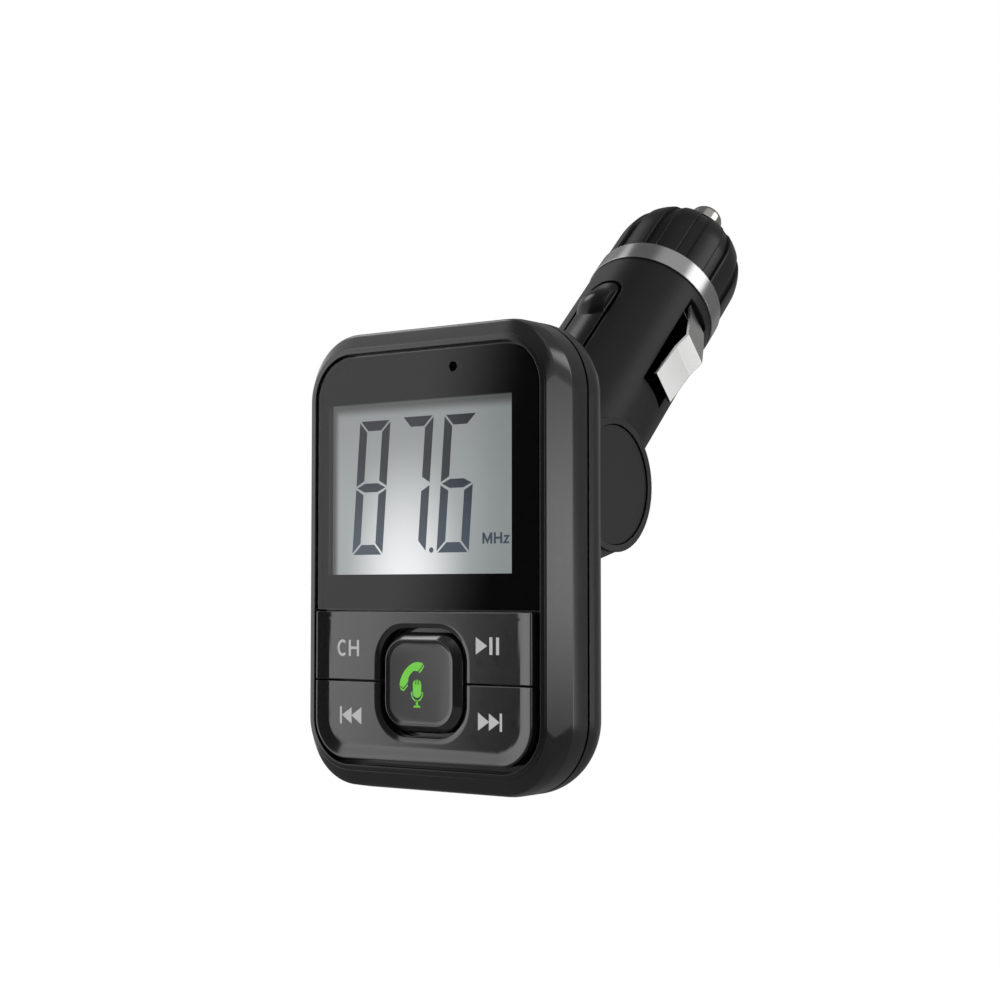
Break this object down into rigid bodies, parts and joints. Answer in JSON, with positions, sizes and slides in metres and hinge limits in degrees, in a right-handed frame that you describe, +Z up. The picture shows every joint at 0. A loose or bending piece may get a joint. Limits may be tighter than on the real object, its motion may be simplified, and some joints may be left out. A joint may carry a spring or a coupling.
{
  "type": "car FM transmitter",
  "caption": "Car FM transmitter with a tilting display head, rocker keys and call key on a 12 V socket plug with a threaded nose cap, spring contacts and fuse.",
  "frame": {"origin": "centre of the metal ring, on the axis of the plug", "axes": "+X to the right of the display head as its user sees it, +Y from the user towards the back, +Z up; the head stands upright and the plug rises to the back in the plane x = 0"},
  "size_m": [0.043, 0.0773, 0.0898],
  "materials": {
    "case_black": "fine matte moulded",
    "key_black": "satin moulded",
    "smoked_window": "polished smoked acrylic",
    "mask_film": "printed black film",
    "display_glass": "display glass with grey polariser",
    "white_plastic": "moulded white",
    "light_guide": "polished clear acrylic",
    "elastomer_pink": "silicone",
    "circuit_board": "solder resist",
    "chip_black": "moulded",
    "tinned_steel": "tinned",
    "rubber_black": "moulded",
    "copper_winding": "ferrite and lacquered copper",
    "wire_red": "insulated wire",
    "nickel": "bright nickel plate",
    "spring_steel": "nickel-plated spring steel",
    "washer_steel": "rolled",
    "fuse_glass": "clear glass with nickel caps",
    "holder_plastic": "moulded black",
    "bush_white": "moulded nylon"
  },
  "bodies": {
    "plug": {"plug_shell_upper": "case_black", "plug_shell_lower": "case_black", "plug_screws": "nickel", "retaining_ring": "nickel", "converter_board": "circuit_board", "power_inductor": "copper_winding", "converter_chip": "chip_black", "filter_capacitor": "chip_black", "plug_lead": "rubber_black", "fuse_holder": "holder_plastic", "fuse_terminal": "tinned_steel", "contact_spring": "spring_steel"},
    "head": {"front_bezel": "case_black", "rear_shell": "case_black", "case_screws": "nickel", "display_window": "smoked_window", "window_mask": "mask_film", "lcd_panel": "display_glass", "lcd_frame": "white_plastic", "backlight_guide": "light_guide", "backlight_led": "white_plastic", "reflector_sheet": "white_plastic", "zebra_connector": "elastomer_pink", "main_board": "circuit_board", "tact_switches": "chip_black", "microphone": "tinned_steel", "mic_boot": "rubber_black", "bluetooth_module": "tinned_steel", "transmitter_chip": "chip_black", "crystal": "tinned_steel", "storage_capacitor": "chip_black", "antenna_wire": "wire_red", "lead_socket": "white_plastic", "head_lead": "rubber_black", "lead_grommet": "rubber_black", "hinge_cap_left": "case_black", "hinge_cap_right": "case_black", "pivot_pins": "tinned_steel", "friction_washers": "washer_steel"},
    "upper_rocker": {"upper_rocker_key": "key_black"},
    "lower_rocker": {"lower_rocker_key": "key_black"},
    "call_button": {"call_key": "key_black"},
    "right_contact": {"ground_contact_right": "spring_steel"},
    "left_contact": {"ground_contact_left": "spring_steel"},
    "upper_tongue": {"grip_tongue_upper": "case_black"},
    "lower_tongue": {"grip_tongue_lower": "case_black"},
    "tip": {"contact_pin": "nickel", "fuse": "fuse_glass"},
    "bush": {"insulating_bush": "bush_white"},
    "cap": {"nose_cap": "case_black"}
  },
  "joints": [
    {"name": "head_tilt", "type": "hinge", "parent": "plug", "child": "head", "pos_m": [0, -0.03127, -0.03031], "axis": [1, 0, 0], "range_deg": [-45, 90]},
    {"name": "upper_rocker_tilt", "type": "hinge", "parent": "head", "child": "upper_rocker", "pos_m": [0, -0.05562, -0.04849], "axis": [0, 0, 1], "range_deg": [-1.2, 1.2], "stiffness_Nm_per_rad": 0.8},
    {"name": "lower_rocker_tilt", "type": "hinge", "parent": "head", "child": "lower_rocker", "pos_m": [0, -0.05562, -0.06642], "axis": [0, 0, 1], "range_deg": [-1.2, 1.2], "stiffness_Nm_per_rad": 0.8},
    {"name": "call_press", "type": "slide", "parent": "head", "child": "call_button", "axis": [0, 1, 0], "range_m": [0, 0.0005], "stiffness_N_per_m": 1500, "springref_m": -0.0003},
    {"name": "right_contact_flex", "type": "hinge", "parent": "plug", "child": "right_contact", "pos_m": [0.00785, -0.00305, -0.00296], "axis": [0, 0.6959, -0.7181], "range_deg": [0, 15], "stiffness_Nm_per_rad": 0.3, "springref_deg": -5.73},
    {"name": "left_contact_flex", "type": "hinge", "parent": "plug", "child": "left_contact", "pos_m": [-0.00785, -0.00305, -0.00296], "axis": [0, -0.6959, 0.7181], "range_deg": [0, 15], "stiffness_Nm_per_rad": 0.3, "springref_deg": -5.73},
    {"name": "upper_tongue_flex", "type": "hinge", "parent": "plug", "child": "upper_tongue", "pos_m": [0, -0.02532, -0.01131], "axis": [-1, 0, 0], "range_deg": [0, 5], "stiffness_Nm_per_rad": 0.6, "springref_deg": -1.72},
    {"name": "lower_tongue_flex", "type": "hinge", "parent": "plug", "child": "lower_tongue", "pos_m": [0, -0.0121, -0.02495], "axis": [1, 0, 0], "range_deg": [0, 5], "stiffness_Nm_per_rad": 0.6, "springref_deg": -1.72},
    {"name": "tip_press", "type": "slide", "parent": "plug", "child": "tip", "axis": [0, -0.7181, -0.6959], "range_m": [0, 0.0025], "stiffness_N_per_m": 1500, "springref_m": -0.0015, "deforming": ["contact_spring"]},
    {"name": "cap_lift", "type": "slide", "parent": "plug", "child": "bush", "axis": [0, 0.7181, 0.6959], "range_m": [0, 0.00452]},
    {"name": "cap_turn", "type": "hinge", "parent": "bush", "child": "cap", "pos_m": [0, 0.00463, 0.00449], "axis": [0, 0.7181, 0.6959], "range_deg": [0, 1080]}
  ],
  "couplings": [
    {"joint": "cap_lift", "follows": "cap_turn", "m_per_rad": 0.00023873}
  ]
}
